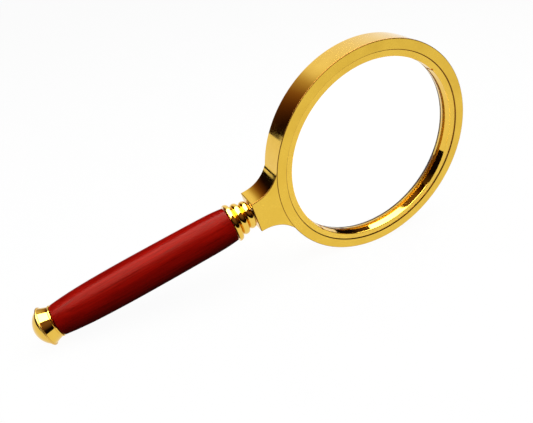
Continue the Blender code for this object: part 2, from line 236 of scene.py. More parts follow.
POMMEL_X = 153.4 * MM
POMMEL_TENON_R = 4.9 * MM
POMMEL_TENON = 2.6 * MM
TENON_CHAMFER = 0.3 * MM
COLLAR_R = 7.0 * MM
COLLAR_WIDTH = 0.7 * MM
COLLAR_ROUND = 0.3 * MM
COLLAR_FACE_INSET = 0.25 * MM
FLARE_THROAT_R = 6.75 * MM
FLARE_POWER = 1.3
RIM_X = 158.0 * MM
RIM_R = 8.475 * MM
RIM_HALF_WIDTH = 0.45 * MM
RIM_HEIGHT = 0.5 * MM
RIM_LEDGE = 0.15 * MM                    # between the rim bead and the dome
DOME_BASE_R = 7.6 * MM
DOME_END_X = 162.78 * MM
DOME_POWER = 1.3
POMMEL_SOCKET = (2.35 * MM, 158.8 * MM)      # radius, and where it ends

# ---------------------------------------------------------------- where things stand
joints = {j["name"]: j for j in frame["record"]["behaviour"]["joints"]}
FRONT = Vector(joints["lens_draw_out"]["axis"]).normalized()
HANDLE = Vector(joints["handle_draw_off"]["axis"]).normalized()
CENTRE = Vector(joints["retaining_ring_turn"]["pos_m"])
SIDE = FRONT.cross(HANDLE)
RING_R = CENTRE.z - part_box("lens_frame")[0][2]


def axes_at(x_axis, y_axis, z_axis, origin):
    turn = Matrix((x_axis, y_axis, z_axis)).transposed().to_4x4()
    return Matrix.Translation(origin) @ turn


LENS_SPACE = axes_at(HANDLE, SIDE, FRONT, CENTRE)      # X to the handle, Z out of the front
TURNED_SPACE = axes_at(-FRONT, SIDE, HANDLE, CENTRE)   # Z along the handle


# ---------------------------------------------------------------- mesh helpers
def add_object(name, data):
    obj = bpy.data.objects.new(name, data)
    bpy.context.collection.objects.link(obj)
    return obj


def finish_mesh(name, bm, space, materials, pick=None, sharp=SHARP_ANGLE):
    """Object from a bmesh, shaded smooth between its sharp edges, standing in space."""
    bmesh.ops.recalc_face_normals(bm, faces=bm.faces)
    if pick:
        for face in bm.faces:
            face.material_index = pick(face)
    mesh = bpy.data.meshes.new(name)
    bm.to_mesh(mesh)
    bm.free()
    mesh.transform(space)
    for mat in materials:
        mesh.materials.append(mat)
    mesh.shade_smooth()
    mesh.set_sharp_from_angle(angle=math.radians(sharp))
    return add_object(name, mesh)


def skin(sections, closed=True):
    """Quads through neighbouring sections; the last section joins the first.

    A section is a list of points. It is a loop when closed, else its two ends meet the axis.
    """
    bm = bmesh.new()
    rows = [[bm.verts.new(p) for p in section] for section in sections]
    count = len(rows[0])
    last = count if closed else count - 1
    for a, b in zip(rows, rows[1:] + rows[:1]):
        for i in range(last):
            j = (i + 1) % count
            bm.faces.new((a[i], b[i], b[j], a[j]))
    bmesh.ops.remove_doubles(bm, verts=bm.verts, dist=WELD)
    return bm


def lathe(profile, steps, closed=True):
    """Spin (radius, height) points. profile may be a list or a function of the angle."""
    sections = []
    for i in range(steps):
        a = TAU * i / steps
        outline = profile(a) if callable(profile) else profile
        sections.append([(r * math.cos(a), r * math.sin(a), z) for r, z in outline])
    return skin(sections, closed)


def arc(centre, radii, start, end, count):
    """(radius, height) points of an elliptical arc; angles in degrees."""
    points = []
    for i in range(count + 1):
        a = math.radians(start + (end - start) * i / count)
        points.append((centre[0] + radii[0] * math.cos(a), centre[1] + radii[1] * math.sin(a)))
    return points


def smoothstep(t):
    """0 below 0, 1 above 1, and a smooth rise between."""
    t = min(max(t, 0.0), 1.0)
    return t * t * (3 - 2 * t)


def thread_height(z, angle, pitch, start, end, runout):
    """0 at the root and 1 at the crest of a right-handed thread, fading out at its ends."""
    phase = (z / pitch - angle / TAU) % 1.0
    flank = min(max((abs(phase - 0.5) * 2 - THREAD_FLAT) / THREAD_FLANK, 0.0), 1.0)
    return (1 - flank) * smoothstep((z - start) / runout) * smoothstep((end - z) / runout)


def spread(start, end, count):
    """count even steps from start to end, both ends included."""
    return [start + (end - start) * i / count for i in range(count + 1)]


def smooth_stations(stations, spans):
    """Catmull-Rom curve through (position, radius) stations."""
    ends = [stations[0], *stations, stations[-1]]
    points = []
    for p0, p1, p2, p3 in zip(ends, ends[1:], ends[2:], ends[3:]):
        for i in range(spans):
            t = i / spans
            points.append(tuple(
                0.5 * (2 * b + (c - a) * t + (2 * a - 5 * b + 4 * c - d) * t * t
                       + (3 * b - a - 3 * c + d) * t ** 3)
                for a, b, c, d in zip(p0, p1, p2, p3)))
    return points + [stations[-1]]


def declare(obj, body, node):
    """Hang the piece under its body's empty, and hide the CAD node that it stands in for."""
    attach(obj, body)
    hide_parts(node)


# ---------------------------------------------------------------- material helpers
def fill_ramp(ramp, stops):
    """Give a colour ramp its (position, colour) stops."""
    elements = ramp.color_ramp.elements
    while len(elements) < len(stops):
        elements.new(0.5)
    for element, (position, colour) in zip(elements, stops):
        element.position = position
        element.color = (*colour, 1.0)


class Shader:
    """A material with short ways to add and link its nodes."""

    def __init__(self, name, colour, metallic, roughness, space=Matrix.Identity(4)):
        self.material = bpy.data.materials.new(name)
        self.material.use_nodes = True
        self.material.diffuse_color = (*colour, 1.0)
        self.tree = self.material.node_tree
        self.bsdf = self.tree.nodes["Principled BSDF"]
        self.set("Base Color", (*colour, 1.0))
        self.set("Metallic", metallic)
        self.set("Roughness", roughness)
        to_piece = space.inverted()
        self.place = self.add("ShaderNodeMapping", {
            "Vector": self.add("ShaderNodeTexCoord").outputs["Object"],
            "Location": to_piece.translation, "Rotation": to_piece.to_euler("XYZ"),
        }).outputs[0]

    def add(self, kind, inputs=None, **settings):
        node = self.tree.nodes.new(kind)
        for key, value in settings.items():
            setattr(node, key, value)
        for key, value in (inputs or {}).items():
            if isinstance(value, bpy.types.NodeSocket):
                self.tree.links.new(value, node.inputs[key])
            else:
                node.inputs[key].default_value = value
        return node

    def set(self, socket, value):
        if isinstance(value, bpy.types.NodeSocket):
            self.tree.links.new(value, self.bsdf.inputs[socket])
        else:
            self.bsdf.inputs[socket].default_value = value

    def stretched(self, scale):
        return self.add("ShaderNodeMapping", {"Vector": self.place, "Scale": scale}).outputs[0]

    def noise(self, vector, scale, detail=3.0, rough=0.5):
        return self.add("ShaderNodeTexNoise", {
            "Vector": vector, "Scale": scale, "Detail": detail, "Roughness": rough,
        }).outputs["Fac"]

    def radius(self):
        """Distance from the piece's own Z axis, and the height along it."""
        parts = self.add("ShaderNodeSeparateXYZ", {"Vector": self.place}).outputs
        flat = self.add("ShaderNodeCombineXYZ", {"X": parts["X"], "Y": parts["Y"]}).outputs[0]
        length = self.add("ShaderNodeVectorMath", {0: flat}, operation="LENGTH")
        return length.outputs["Value"], parts["Z"]

    def span(self, value, low, high, to_low, to_high):
        return self.add("ShaderNodeMapRange", {
            "Value": value, "From Min": low, "From Max": high,
            "To Min": to_low, "To Max": to_high,
        }).outputs["Result"]

    def ramp(self, value, stops):
        node = self.add("ShaderNodeValToRGB", {"Fac": value})
        fill_ramp(node, stops)
        return node.outputs["Color"]

    def blend(self, factor, a, b, mode="MIX"):
        node = self.add("ShaderNodeMix", data_type="RGBA", blend_type=mode)
        for socket, value in zip((node.inputs[0], node.inputs[6], node.inputs[7]), (factor, a, b)):
            if isinstance(value, bpy.types.NodeSocket):
                self.tree.links.new(value, socket)
            else:
                socket.default_value = value if isinstance(value, float) else (*value, 1.0)
        return node.outputs[2]

    def math(self, operation, a, b=0.0):
        return self.add("ShaderNodeMath", {0: a, 1: b}, operation=operation).outputs[0]

    def bump(self, height, distance, strength=1.0):
        node = self.add("ShaderNodeBump", {
            "Height": height, "Distance": distance, "Strength": strength})
        self.set("Normal", node.outputs["Normal"])


def polished_gold(name, colour, deep, roughness, space):
    """Plated gold with faint polishing haze, tone drift and hairline scratches."""
    s = Shader(name, colour, 1.0, roughness, space)
    haze = s.noise(s.place, 160.0, 4.0, 0.6)
    s.set("Base Color", s.blend(s.span(haze, 0.35, 0.7, 0.0, 1.0), colour, deep))
    fine = s.noise(s.stretched((1.0, 0.35, 1.0)), 2600.0, 2.0)
    cloud = s.span(haze, 0.3, 0.7, -0.25 * roughness, 0.35 * roughness)
    grit = s.span(fine, 0.3, 0.7, -0.15 * roughness, 0.25 * roughness)
    s.set("Roughness", s.math("ADD", s.math("ADD", cloud, grit), roughness))
    hair = s.noise(s.stretched((1.0, 0.05, 1.0)), 3200.0, 1.0)
    s.bump(s.math("ADD", hair, s.math("MULTIPLY", haze, 0.3)), 0.001 * MM, 0.2)
    return s.material


def satin_gold(name, colour, deep, roughness):
    """Plated gold over a face turned in fine concentric rings, slightly grained."""
    s = Shader(name, colour, 1.0, roughness, LENS_SPACE)
    drift = s.noise(s.place, 90.0, 4.0, 0.55)
    s.set("Base Color", s.blend(s.span(drift, 0.35, 0.7, 0.0, 1.0), colour, deep))
    radius, _ = s.radius()
    rings = s.add("ShaderNodeTexNoise", {"W": radius, "Scale": 9000.0, "Detail": 2.0},
                  noise_dimensions="1D").outputs["Fac"]
    grain = s.noise(s.place, 4200.0, 3.0, 0.6)
    s.set("Roughness", s.math("ADD", s.span(drift, 0.3, 0.7, -0.03, 0.04),
                              s.span(grain, 0.3, 0.7, roughness - 0.03, roughness + 0.03)))
    s.bump(s.math("ADD", s.math("MULTIPLY", rings, 0.7), grain), 0.004 * MM, 0.35)
    return s.material


def lacquered_wood():
    """Red-stained turned wood: long fibres, dark pores and a satin lacquer."""
    s = Shader("lacquered_red_wood", WOOD, 0.0, 0.30, TURNED_SPACE)
    fibres = s.noise(s.stretched((1.0, 1.0, 0.035)), 1500.0, 5.0, 0.62)
    bands = s.noise(s.stretched((1.0, 1.0, 0.16)), 170.0, 3.0, 0.5)
    pores = s.noise(s.stretched((1.0, 1.0, 0.055)), 2600.0, 2.0, 0.5)
    tone = s.ramp(fibres, ((0.30, WOOD_DARK), (0.52, WOOD), (0.74, WOOD_BRIGHT)))
    tone = s.blend(s.span(bands, 0.35, 0.68, 0.0, 0.55), tone, WOOD_DARK)
    pore = s.span(pores, 0.64, 0.72, 0.0, 1.0)
    tone = s.blend(s.math("MULTIPLY", pore, 0.45), tone, WOOD_PORE)
    s.set("Base Color", tone)
    s.set("Roughness", s.math("ADD", s.span(fibres, 0.3, 0.7, 0.26, 0.34),
                              s.math("MULTIPLY", pore, 0.08)))
    s.set("IOR", LACQUER_IOR)
    s.set("Specular IOR Level", 1.0)
    s.set("Specular Tint", LACQUER_TINT)
    height = s.math("SUBTRACT", s.math("MULTIPLY", fibres, 0.5), pore)
    s.bump(height, 0.02 * MM, 0.35)
    return s.material


def machined_metal(name, colour, deep, roughness):
    """Turned metal: circular tool marks, and a little tarnish."""
    s = Shader(name, colour, 1.0, roughness, TURNED_SPACE)
    _, height = s.radius()
    marks = s.add("ShaderNodeTexNoise", {"W": height, "Scale": 7000.0, "Detail": 2.0},
                  noise_dimensions="1D").outputs["Fac"]
    stain = s.noise(s.place, 420.0, 4.0, 0.6)
    s.set("Base Color", s.blend(s.span(stain, 0.4, 0.72, 0.0, 1.0), colour, deep))
    s.set("Roughness", s.math("ADD", s.span(marks, 0.3, 0.7, -0.05, 0.05),
                              s.span(stain, 0.3, 0.7, roughness - 0.04, roughness + 0.08)))
    s.bump(marks, 0.01 * MM, 0.3)
    return s.material


def clear_glass():
    """Polished optical glass, with the faintest uneven wipe marks."""
    s = Shader("optical_glass", (0.985, 0.995, 0.99), 0.0, 0.0, LENS_SPACE)
    wipe = s.noise(s.stretched((1.0, 0.25, 1.0)), 70.0, 3.0, 0.6)
    s.set("Roughness", s.span(wipe, 0.5, 0.8, 0.0, 0.012))
    s.set("Transmission Weight", 1.0)
    s.set("IOR", GLASS_IOR)
    through = s.add("ShaderNodeBsdfTransparent")
    shadow = s.add("ShaderNodeLightPath").outputs["Is Shadow Ray"]
    mix = s.add("ShaderNodeMixShader", {0: shadow, 1: s.bsdf.outputs[0], 2: through.outputs[0]})
    s.tree.links.new(mix.outputs[0], s.tree.nodes["Material Output"].inputs["Surface"])
    return s.material


def ground_glass():
    """Fine-ground edge of the lens."""
    s = Shader("ground_glass_edge", (0.86, 0.88, 0.87), 0.0, 0.6, LENS_SPACE)
    grain = s.noise(s.place, 5200.0, 3.0, 0.6)
    s.set("Roughness", s.span(grain, 0.3, 0.7, 0.5, 0.75))
    s.set("Transmission Weight", 0.35)
    s.set("IOR", GLASS_IOR)
    s.bump(grain, 0.02 * MM, 0.5)
    return s.material


# ---------------------------------------------------------------- pieces
def frame_columns():
    """(outline point, outward normal) all round the frame, starting at the yoke's end."""
    flare_y = YOKE_END_HALF_WIDTH + YOKE_FLARE_R
    flare_x = math.sqrt((RING_R + YOKE_FLARE_R) ** 2 - flare_y ** 2)
    tangent = math.atan2(flare_y, flare_x)
    half = []
    for y in spread(0.0, YOKE_END_HALF_WIDTH - YOKE_EDGE, 12):
        half.append(((YOKE_END_X, y), (1.0, 0.0)))
    for x, y in arc((0, 0), (1, 1), 0, 90, 6)[1:]:
        half.append(((YOKE_END_X - YOKE_EDGE + YOKE_EDGE * x,
                      YOKE_END_HALF_WIDTH - YOKE_EDGE + YOKE_EDGE * y), (x, y)))
    half.append(((flare_x + 0.5 * MM, YOKE_END_HALF_WIDTH), (0.0, 1.0)))
    for x, y in arc((0, 0), (1, 1), 270, 180 + math.degrees(tangent), FLARE_STEPS):
        half.append(((flare_x + YOKE_FLARE_R * x, flare_y + YOKE_FLARE_R * y), (-x, -y)))
    ring = [((RING_R * math.cos(a), RING_R * math.sin(a)), (math.cos(a), math.sin(a)))
            for a in spread(tangent, TAU - tangent, RING_STEPS)[1:-1]]
    mirrored = [((x, -y), (nx, -ny)) for (x, y), (nx, ny) in reversed(half[1:])]
    return half + ring + mirrored


def frame_section(point, normal):
    """Closed section of the frame on the line from the lens axis through an outline point."""
    angle = math.atan2(point[1], point[0])
    out = (math.cos(angle), math.sin(angle))
    overhang = math.hypot(*point) - RING_R
    on_yoke = smoothstep(overhang / YOKE_BLEND)
    round_r = RING_R - RING_EDGE
    round_z = RING_HALF - RING_EDGE
    crease = math.degrees(math.asin((YOKE_HALF - round_z) / RING_EDGE))
    crease_r = round_r + RING_EDGE * math.cos(math.radians(crease))

    def radial(r, z):
        return Vector((r * out[0], r * out[1], z))

    face = [radial(POCKET_R + POCKET_EDGE, RING_HALF)]
    face += [radial(r, RING_HALF) for r in FACE_ROWS_R]
    face += [radial(r, z) for r, z in arc((round_r, round_z), (RING_EDGE,) * 2, 90, crease, 5)]
    # from the crease on, the ring's own rounding gives way to the yoke's face and edge
    rest = [radial(r, z) for r, z in arc((round_r, round_z), (RING_EDGE,) * 2, crease, 0, 10)[1:]]
    start = radial(crease_r, YOKE_HALF)
    edge = Vector((point[0] - YOKE_EDGE * normal[0], point[1] - YOKE_EDGE * normal[1], YOKE_HALF))
    yoke = [start.lerp(edge, t) for t in (0.25, 0.5, 0.75, 0.95, 1.0)]
    for fall, rise in arc((0, 0), (1, 1), 90, 0, 5)[1:]:
        inset = YOKE_EDGE * (1 - fall)
        yoke.append(Vector((point[0] - inset * normal[0], point[1] - inset * normal[1],
                            YOKE_HALF - YOKE_EDGE * (1 - rise))))
    outer = face + [a.lerp(b, on_yoke) for a, b in zip(rest, yoke)]
    wall_top = outer[-1]
    wall = [Vector((wall_top.x, wall_top.y, wall_top.z * t)) for t in (0.6, 0.2, -0.2, -0.6)]
    back = [Vector((p.x, p.y, -p.z)) for p in reversed(outer)]
    back[-1] = radial(OPENING_R + LIP_CHAMFER + FINE_EDGE, -RING_HALF)
    back[-2] = radial(POCKET_R, -RING_HALF)
    lip = [radial(OPENING_R + LIP_CHAMFER, -RING_HALF),
           radial(OPENING_R, LIP_CHAMFER - RING_HALF),
           radial(OPENING_R, -LIP_SHADE_Z),
           radial(OPENING_R, -SEAT_Z - FINE_EDGE),
           radial(OPENING_R + FINE_EDGE, -SEAT_Z),
           radial(POCKET_R, -SEAT_Z)]
    top = RING_HALF - POCKET_EDGE
    pocket = []
    for z in spread(POCKET_THREAD_Z, top, POCKET_ROWS):
        depth = RETAINER_THREAD * (1 - thread_height(z, angle, RETAINER_PITCH,
                                                     POCKET_THREAD_Z, top, POCKET_RUNOUT))
        depth *= smoothstep((z - POCKET_THREAD_Z) / POCKET_RUNOUT)
        depth *= smoothstep((top - z) / POCKET_FRONT_RUNOUT)
        pocket.append(radial(POCKET_R + depth, z))
    return outer + wall + back + lip + pocket


def threaded_rod(radius, depth, pitch, start, end):
    """Rod along Z with a right-handed thread and chamfered ends."""
    rows = spread(start + ROD_CHAMFER, end - ROD_CHAMFER,
                  round((end - start) / pitch * ROWS_PER_PITCH))
    end_r = radius - depth - 0.5 * ROD_CHAMFER

    def profile(angle):
        side = [(radius - depth * (1 - thread_height(
            z, angle, pitch, start, end, 1.2 * ROD_CHAMFER)), z) for z in rows]
        return [(0.0, start), (end_r, start)] + side + [(end_r, end), (0.0, end)]

    return lathe(profile, ROD_STEPS, closed=False)


def boolean(target, cutter):
    """Cut cutter out of target for good, and remove the cutter."""
    mod = target.modifiers.new("cut", "BOOLEAN")
    mod.operation = "DIFFERENCE"
    mod.solver = "EXACT"
    mod.object = cutter
    bpy.context.view_layer.update()
    evaluated = target.evaluated_get(bpy.context.evaluated_depsgraph_get())
    mesh = bpy.data.meshes.new_from_object(evaluated)
    target.modifiers.clear()
    target.data = mesh
    mesh.set_sharp_from_angle(angle=math.radians(SHARP_ANGLE))
    bpy.data.objects.remove(cutter, do_unlink=True)


def keep_flats_flat(obj):
    """Shade flat faces as flat, and leave the roundness to the curved ones."""
    mod = obj.modifiers.new("weighted_normals", "WEIGHTED_NORMAL")
    mod.keep_sharp = True
    mod.weight = 80


def build_frame(satin, polished, shaded_lip, shaded_edge):
    bm = skin([frame_section(*column) for column in frame_columns()])
    on_flats, on_walls, on_shaded_lip, on_shaded_edges = range(4)

    def by_direction(face):
        middle = face.calc_center_median()
        # the back of the lip takes the gold painted near-black as shade
        if middle.z < -LIP_SHADE_Z and middle.xy.length < OPENING_R + LIP_CHAMFER:
            return on_shaded_lip
        # front-facing edge roundings and creases take the gold painted dark as shade
        if WALL_FACING < face.normal.z < FLAT_FACING:
            return on_shaded_edges
        return on_flats if abs(face.normal.z) > FLAT_FACING else on_walls

    obj = finish_mesh("gold_frame", bm, LENS_SPACE, (satin, polished, shaded_lip, shaded_edge),
                      by_direction)
    rows = spread(SOCKET_BOTTOM_X, YOKE_END_X + SOCKET_OVERCUT, SOCKET_ROWS)

    def socket_profile(angle):
        side = [(SOCKET_R - SOCKET_THREAD * thread_height(
            z, angle + math.pi, STUD_PITCH, SOCKET_BOTTOM_X, YOKE_END_X, SOCKET_RUNOUT), z)
            for z in rows]
        return [(0.0, rows[0])] + side + [(0.0, rows[-1])]

    cutter = finish_mesh("socket_cutter", lathe(socket_profile, ROD_STEPS, closed=False),
                         TURNED_SPACE, (polished,))
    boolean(obj, cutter)
    keep_flats_flat(obj)
    declare(obj, "frame", "lens_frame")


def build_retaining_ring(satin, polished):
    width, depth = SPANNER_SLOT
    half = width / 2 / OPENING_R
    step = 1e-6                          # angle in which a slot's side goes from top to bottom
    columns = [(a, OPENING_R) for a in spread(0.0, TAU, RETAINER_STEPS)[:-1]
               if min(abs(a - s) for s in SPANNER_SLOT_ANGLES) > half * 1.1]
    for s in SPANNER_SLOT_ANGLES:
        columns += [(s - half, OPENING_R), (s - half + step, OPENING_R + depth)]
        columns += [(s + half * t, OPENING_R + depth) for t in (-0.5, 0.0, 0.5)]
        columns += [(s + half - step, OPENING_R + depth), (s + half, OPENING_R)]
    columns.sort()
    rows = spread(RETAINER_FRONT_Z - RETAINER_RUNOUT, SEAT_Z + RETAINER_BACK_EDGE,
                  RETAINER_ROWS)
    flange_r = RETAINER_R + RETAINER_THREAD
    rounding = arc((OPENING_R + RETAINER_EDGE, RETAINER_FRONT_Z - RETAINER_EDGE),
                   (RETAINER_EDGE,) * 2, 180, 90, 6)
    sections = []
    for angle, inner in columns:
        outline = [(inner + FINE_EDGE, SEAT_Z), (inner, SEAT_Z + FINE_EDGE),
                   (inner, RETAINER_BORE_ROW_Z)]
        outline += [(max(r, inner), z) for r, z in rounding]
        outline += [(RETAINER_FACE_ROW_R, RETAINER_FRONT_Z),
                    (flange_r - RETAINER_LAND, RETAINER_FRONT_Z),
                    (flange_r, RETAINER_FRONT_Z - RETAINER_LAND),
                    (flange_r, RETAINER_FRONT_Z - RETAINER_LIP)]
        outline += [(RETAINER_R + RETAINER_THREAD * thread_height(
            z, angle, RETAINER_PITCH, SEAT_Z, RETAINER_FRONT_Z, RETAINER_RUNOUT), z)
            for z in rows]
        outline += [(RETAINER_R - RETAINER_BACK_EDGE, SEAT_Z)]
        sections.append([(r * math.cos(angle), r * math.sin(angle), z) for r, z in outline])

    def by_direction(face):
        return 0 if face.normal.z > FLAT_FACING else 1

    obj = finish_mesh("gold_retaining_ring", skin(sections), LENS_SPACE, (satin, polished),
                      by_direction)
    keep_flats_flat(obj)
    declare(obj, "retaining_ring", "retaining_ring")


def build_lens(clear, ground):
    rim = math.sqrt(LENS_CURVE_R ** 2 - LENS_R ** 2)

    def height(radius):
        return LENS_EDGE_HALF + math.sqrt(LENS_CURVE_R ** 2 - radius ** 2) - rim

    polished_r = LENS_R - LENS_CHAMFER
    front = [(r, height(r)) for r in spread(0.0, polished_r, 30)]
    edge = [(LENS_R, LENS_EDGE_HALF - LENS_CHAMFER), (LENS_R, 0.0),
            (LENS_R, LENS_CHAMFER - LENS_EDGE_HALF)]
    profile = front + edge + [(r, -z) for r, z in reversed(front)]

    def by_place(face):
        return 1 if face.calc_center_median().xy.length > polished_r else 0

    obj = finish_mesh("glass_lens", lathe(profile, LENS_STEPS, closed=False), LENS_SPACE,
                      (clear, ground), by_place, LENS_SHARP_ANGLE)
    obj.visible_glossy = False           # keeps the bore's own reflections clean
    declare(obj, "lens", "lens_glass")


def build_ferrule(polished):
    profile = [(FERRULE_NECK_R - FINE_EDGE, FERRULE_X), (FERRULE_NECK_R, FERRULE_X + 0.05 * MM)]
    for number, crest in enumerate(BEAD_CREST_R):
        centre = FERRULE_X + FINE_EDGE + BEAD_HALF_WIDTH + number * BEAD_PITCH
        profile += arc((crest - BEAD_HEIGHT, centre), (BEAD_HEIGHT, BEAD_HALF_WIDTH),
                       -BEAD_ARC, BEAD_ARC, BEAD_STEPS)
    profile = [(r, min(x, FERRULE_END_X - LAST_BEAD_TRIM)) for r, x in profile]
    end = FERRULE_END_X + SPIGOT_LENGTH
    profile += [
        (BEAD_CREST_R[-1] - LAST_BEAD_DEPTH, FERRULE_END_X),
        (SPIGOT_R + SPIGOT_FILLET, FERRULE_END_X), (SPIGOT_R, FERRULE_END_X + SPIGOT_FILLET),
        (SPIGOT_R, end - SPIGOT_CHAMFER), (SPIGOT_R - SPIGOT_CHAMFER, end),
        (CLEAR_HOLE_R + HOLE_CHAMFER, end), (CLEAR_HOLE_R, end - HOLE_CHAMFER),
        (CLEAR_HOLE_R, FERRULE_X + FRONT_CHAMFER), (CLEAR_HOLE_R + FRONT_CHAMFER, FERRULE_X),
    ]
    obj = finish_mesh("beaded_ferrule", lathe(profile, TURNED_STEPS), TURNED_SPACE,
                      (polished,))
    keep_flats_flat(obj)
    declare(obj, "ferrule", "ferrule")


def build_grip(wood):
    curve = [(r, x) for x, r in smooth_stations(GRIP_STATIONS, GRIP_SPANS)]
    (top_r, top_x), (tail_r, tail_x) = curve[0], curve[-1]
    round_r = GRIP_END_ROUND
    outside = [p for p in curve if top_x + 2 * round_r < p[1] < tail_x - 2 * round_r]
    profile = [
        (0.0, INSERT_BORE[1]), (INSERT_BORE[0], INSERT_BORE[1]), (INSERT_BORE[0], SPIGOT_BORE[1]),
        (SPIGOT_BORE[0], SPIGOT_BORE[1]), (SPIGOT_BORE[0], top_x),
        *arc((top_r - round_r, top_x + round_r), (round_r,) * 2, -90, 0, 5),
        *outside,
        *arc((tail_r - round_r + GRIP_TAIL_GAIN, tail_x - round_r), (round_r,) * 2, 0, 90, 5),
        (COUNTERBORE[0], tail_x), (COUNTERBORE[0], COUNTERBORE[1]),
        (POMMEL_BORE[0], COUNTERBORE[1]), (POMMEL_BORE[0], POMMEL_BORE[1]),
        (0.0, POMMEL_BORE[1]),
    ]
    obj = finish_mesh("wooden_grip", lathe(profile, TURNED_STEPS, closed=False), TURNED_SPACE,
                      (wood,))
    keep_flats_flat(obj)
    declare(obj, "handle", "handle_grip")
    return obj


def build_pommel(polished, soft):
    profile = [(0.0, POMMEL_SOCKET[1]), (POMMEL_SOCKET[0], POMMEL_SOCKET[1]),
               (POMMEL_SOCKET[0], POMMEL_X - POMMEL_TENON),
               (POMMEL_TENON_R - TENON_CHAMFER, POMMEL_X - POMMEL_TENON),
               (POMMEL_TENON_R, POMMEL_X - POMMEL_TENON + TENON_CHAMFER),
               (POMMEL_TENON_R, POMMEL_X), (COLLAR_R - COLLAR_FACE_INSET, POMMEL_X)]
    profile += arc((COLLAR_R - COLLAR_ROUND, POMMEL_X + COLLAR_WIDTH / 2),
                   (COLLAR_ROUND, COLLAR_WIDTH / 2), -60, 60, 10)
    throat_x = POMMEL_X + COLLAR_WIDTH + FINE_EDGE
    rim_start, flare_top = RIM_X - RIM_HALF_WIDTH, RIM_R - RIM_HEIGHT
    profile += [(FLARE_THROAT_R + (flare_top - FLARE_THROAT_R) * t ** FLARE_POWER,
                 throat_x + (rim_start - throat_x) * t) for t in spread(0.0, 1.0, 16)]
    profile += arc((flare_top, RIM_X), (RIM_HEIGHT, RIM_HALF_WIDTH), -75, 75, 14)
    dome_x = RIM_X + RIM_HALF_WIDTH + RIM_LEDGE
    profile += [(DOME_BASE_R * math.cos(t), dome_x
                 + (DOME_END_X - dome_x) * math.sin(t) ** (2 / DOME_POWER))
                for t in spread(0.0, math.pi / 2, 36)[:-1]]
    profile.append((0.0, DOME_END_X))

    def on_rim(face):
        middle = face.calc_center_median()
        return int(abs(middle.z - RIM_X) < RIM_HALF_WIDTH and middle.xy.length > flare_top)

    obj = finish_mesh("domed_pommel", lathe(profile, TURNED_STEPS, closed=False), TURNED_SPACE,
                      (polished, soft), on_rim)
    keep_flats_flat(obj)
    declare(obj, "handle", "pommel")


def build_insert(name, start, length, outer, bore, metal, slot, node):
    """Bush with straight knurled lands and two plain grooves between them."""
    end, end_r = start + length, outer - INSERT_CHAMFER
    grooves = [start + length * t for t in (1 / 3, 2 / 3)]
    rows = spread(start + INSERT_EDGE, end - INSERT_EDGE, INSERT_ROWS)

    def profile(angle):
        side = []
        for z in rows:
            near = min(abs(z - g) for g in grooves)
            land = smoothstep((near - INSERT_GROOVE) / INSERT_GROOVE)
            knurl = INSERT_KNURL * abs(math.sin(angle * INSERT_FLUTES / 2))
            side.append((outer - INSERT_GROOVE * (1 - land) - knurl * land, z))
        return ([(end_r, start)] + side + [
            (end_r, end), (bore + HOLE_CHAMFER, end), (bore, end - HOLE_CHAMFER),
            (bore, start + HOLE_CHAMFER), (bore + HOLE_CHAMFER, start)])

    obj = finish_mesh(name, lathe(profile, INSERT_STEPS), TURNED_SPACE, (metal,))
    declare(obj, "handle", node)


def build_stud(name, radius, depth, pitch, span, metal, node):
    obj = finish_mesh(name, threaded_rod(radius, depth, pitch, *span), TURNED_SPACE, (metal,))
    declare(obj, "handle", node)


# ---------------------------------------------------------------- studio
def build_floor():
    """Pale floor. It lights matt surfaces only a little, as a white sheet far below would."""
    bm = bmesh.new()
    bmesh.ops.create_grid(bm, x_segments=FLOOR_CELLS, y_segments=FLOOR_CELLS, size=FLOOR_HALF)
    mesh = bpy.data.meshes.new("floor")
    bm.to_mesh(mesh)
    bm.free()
    obj = add_object("floor", mesh)
    s = Shader("pale_floor", (0.3, 0.3, 0.3), 0.0, 0.9)
    mottle = s.noise(s.place, 30.0, 3.0)
    s.set("Base Color", s.blend(s.span(mottle, 0.3, 0.7, 0.0, 1.0), *FLOOR_TONES))
    s.set("Specular IOR Level", 0.0)
    path = s.add("ShaderNodeLightPath").outputs
    s.set("Emission Color", (*WHITE, 1.0))
    share = s.math("ADD", s.math("MULTIPLY", path["Is Diffuse Ray"], FLOOR_MATT_SHARE),
                   s.math("MULTIPLY", path["Is Transmission Ray"], FLOOR_GLASS_SHARE))
    s.set("Emission Strength", s.math("MULTIPLY", s.math("ADD", share, 1.0), FLOOR_GLOW))
    mesh.materials.append(s.material)
    return obj


def area_light(name, place, aim, size, watts, turn):
    """Soft rectangular light that lights matt surfaces; reflector() shows its reflection."""
    light = bpy.data.lights.new(name, "AREA")
    light.shape = "RECTANGLE"
    light.size, light.size_y = size
    light.energy = watts
    obj = add_object(name, light)
    obj.location = place
    aimed = (Vector(aim) - Vector(place)).to_track_quat("-Z", "Y").to_matrix()
    obj.rotation_euler = (Matrix.Rotation(turn, 3, "Z") @ aimed).to_euler()
    obj.visible_glossy = False
    obj.visible_camera = False


def after_gloss(nodes, links):
    """1 for light that reaches the eye by way of a glossy surface, else 0."""
    path = nodes.new("ShaderNodeLightPath")
    test = nodes.new("ShaderNodeMath")
    test.operation = "GREATER_THAN"
    test.inputs[1].default_value = 0.5
    links.new(path.outputs["Glossy Depth"], test.inputs[0])
    return test.outputs[0]


def even(colour):
    """Stops for a panel of one colour."""
    return (0.0, colour), (1.0, colour)


